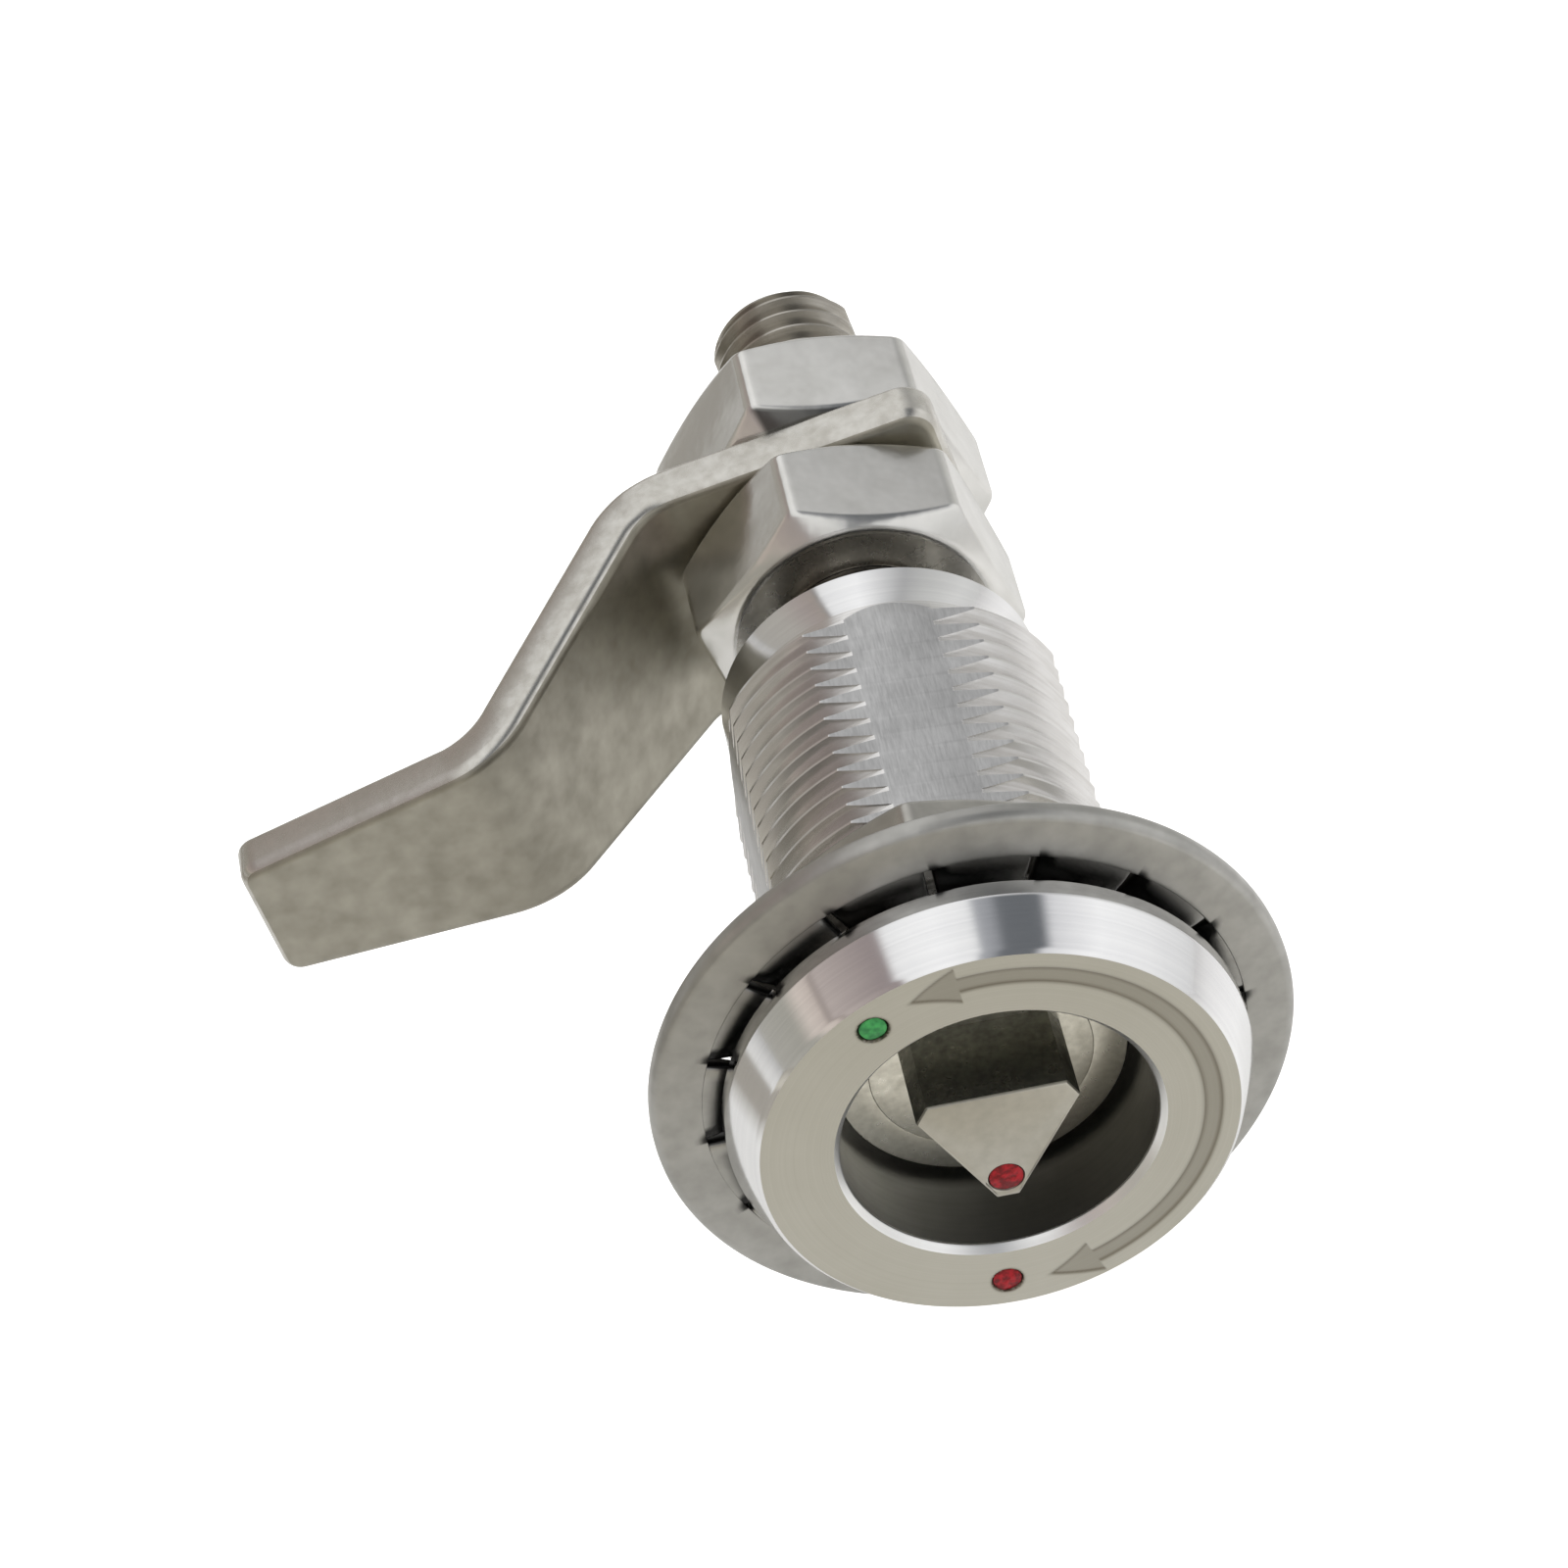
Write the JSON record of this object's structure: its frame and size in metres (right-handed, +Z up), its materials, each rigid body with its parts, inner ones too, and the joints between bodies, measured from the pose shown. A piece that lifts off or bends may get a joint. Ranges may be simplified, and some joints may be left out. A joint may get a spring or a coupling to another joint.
{
  "type": "compression cam latch",
  "caption": "Stainless panel lock with a triangular key drive in a round flange; the spindle turns a bent cam a quarter turn, then draws it forward.",
  "frame": {"origin": "on the lock axis, in the plane of the flange's rear face where the lock seats on its panel", "axes": "+Y along the lock axis from the face to the back of the door, +Z up, -Z towards the red mark on the face; the face looks along -Y"},
  "size_m": [0.0576, 0.0734, 0.037],
  "materials": {
    "turned_stainless": "turned stainless steel with a matte face and a polished flange edge",
    "driver_stainless": "milled stainless steel, worn",
    "nut_stainless": "cold forged stainless steel, satin",
    "cam_stainless": "pressed and tumbled stainless strip",
    "stud_stainless": "rolled stainless thread",
    "pressed_stainless": "pressed stainless sheet, tumbled",
    "spring_steel": "spring steel, oiled",
    "red_paint": "red enamel filling",
    "green_paint": "green enamel filling",
    "nitrile": "moulded nitrile rubber",
    "acetal": "turned acetal"
  },
  "bodies": {
    "lock_body": {"housing": "turned_stainless", "face_red_mark": "red_paint", "face_green_mark": "green_paint", "tooth_washer": "pressed_stainless", "panel_nut": "nut_stainless", "thrust_washer": "acetal", "rear_bush": "nut_stainless", "rear_clip": "spring_steel"},
    "stop_carrier": {"stop_ring": "nut_stainless"},
    "draw_spindle": {"spindle": "stud_stainless", "cross_pin": "spring_steel", "spring_seat": "spring_steel", "front_cam_nut": "nut_stainless", "cam": "cam_stainless", "rear_cam_nut": "nut_stainless"},
    "key_driver": {"driver": "driver_stainless", "driver_red_mark": "red_paint", "driver_face_ring": "driver_stainless", "driver_seal": "nitrile", "driver_clip": "spring_steel", "compression_spring": "spring_steel"}
  },
  "joints": [
    {"name": "cam_turn", "type": "hinge", "parent": "lock_body", "child": "stop_carrier", "pos_m": [0, 0, 0], "axis": [0, -1, 0], "range_deg": [0, 90]},
    {"name": "spindle_draw", "type": "slide", "parent": "stop_carrier", "child": "draw_spindle", "axis": [0, 1, 0], "range_m": [0, 0.006], "deforming": ["compression_spring"]},
    {"name": "driver_tighten", "type": "hinge", "parent": "stop_carrier", "child": "key_driver", "pos_m": [0, 0, 0], "axis": [0, -1, 0], "range_deg": [0, 127]}
  ],
  "couplings": [
    {"joint": "driver_tighten", "follows": "spindle_draw", "rad_per_m": 365}
  ]
}
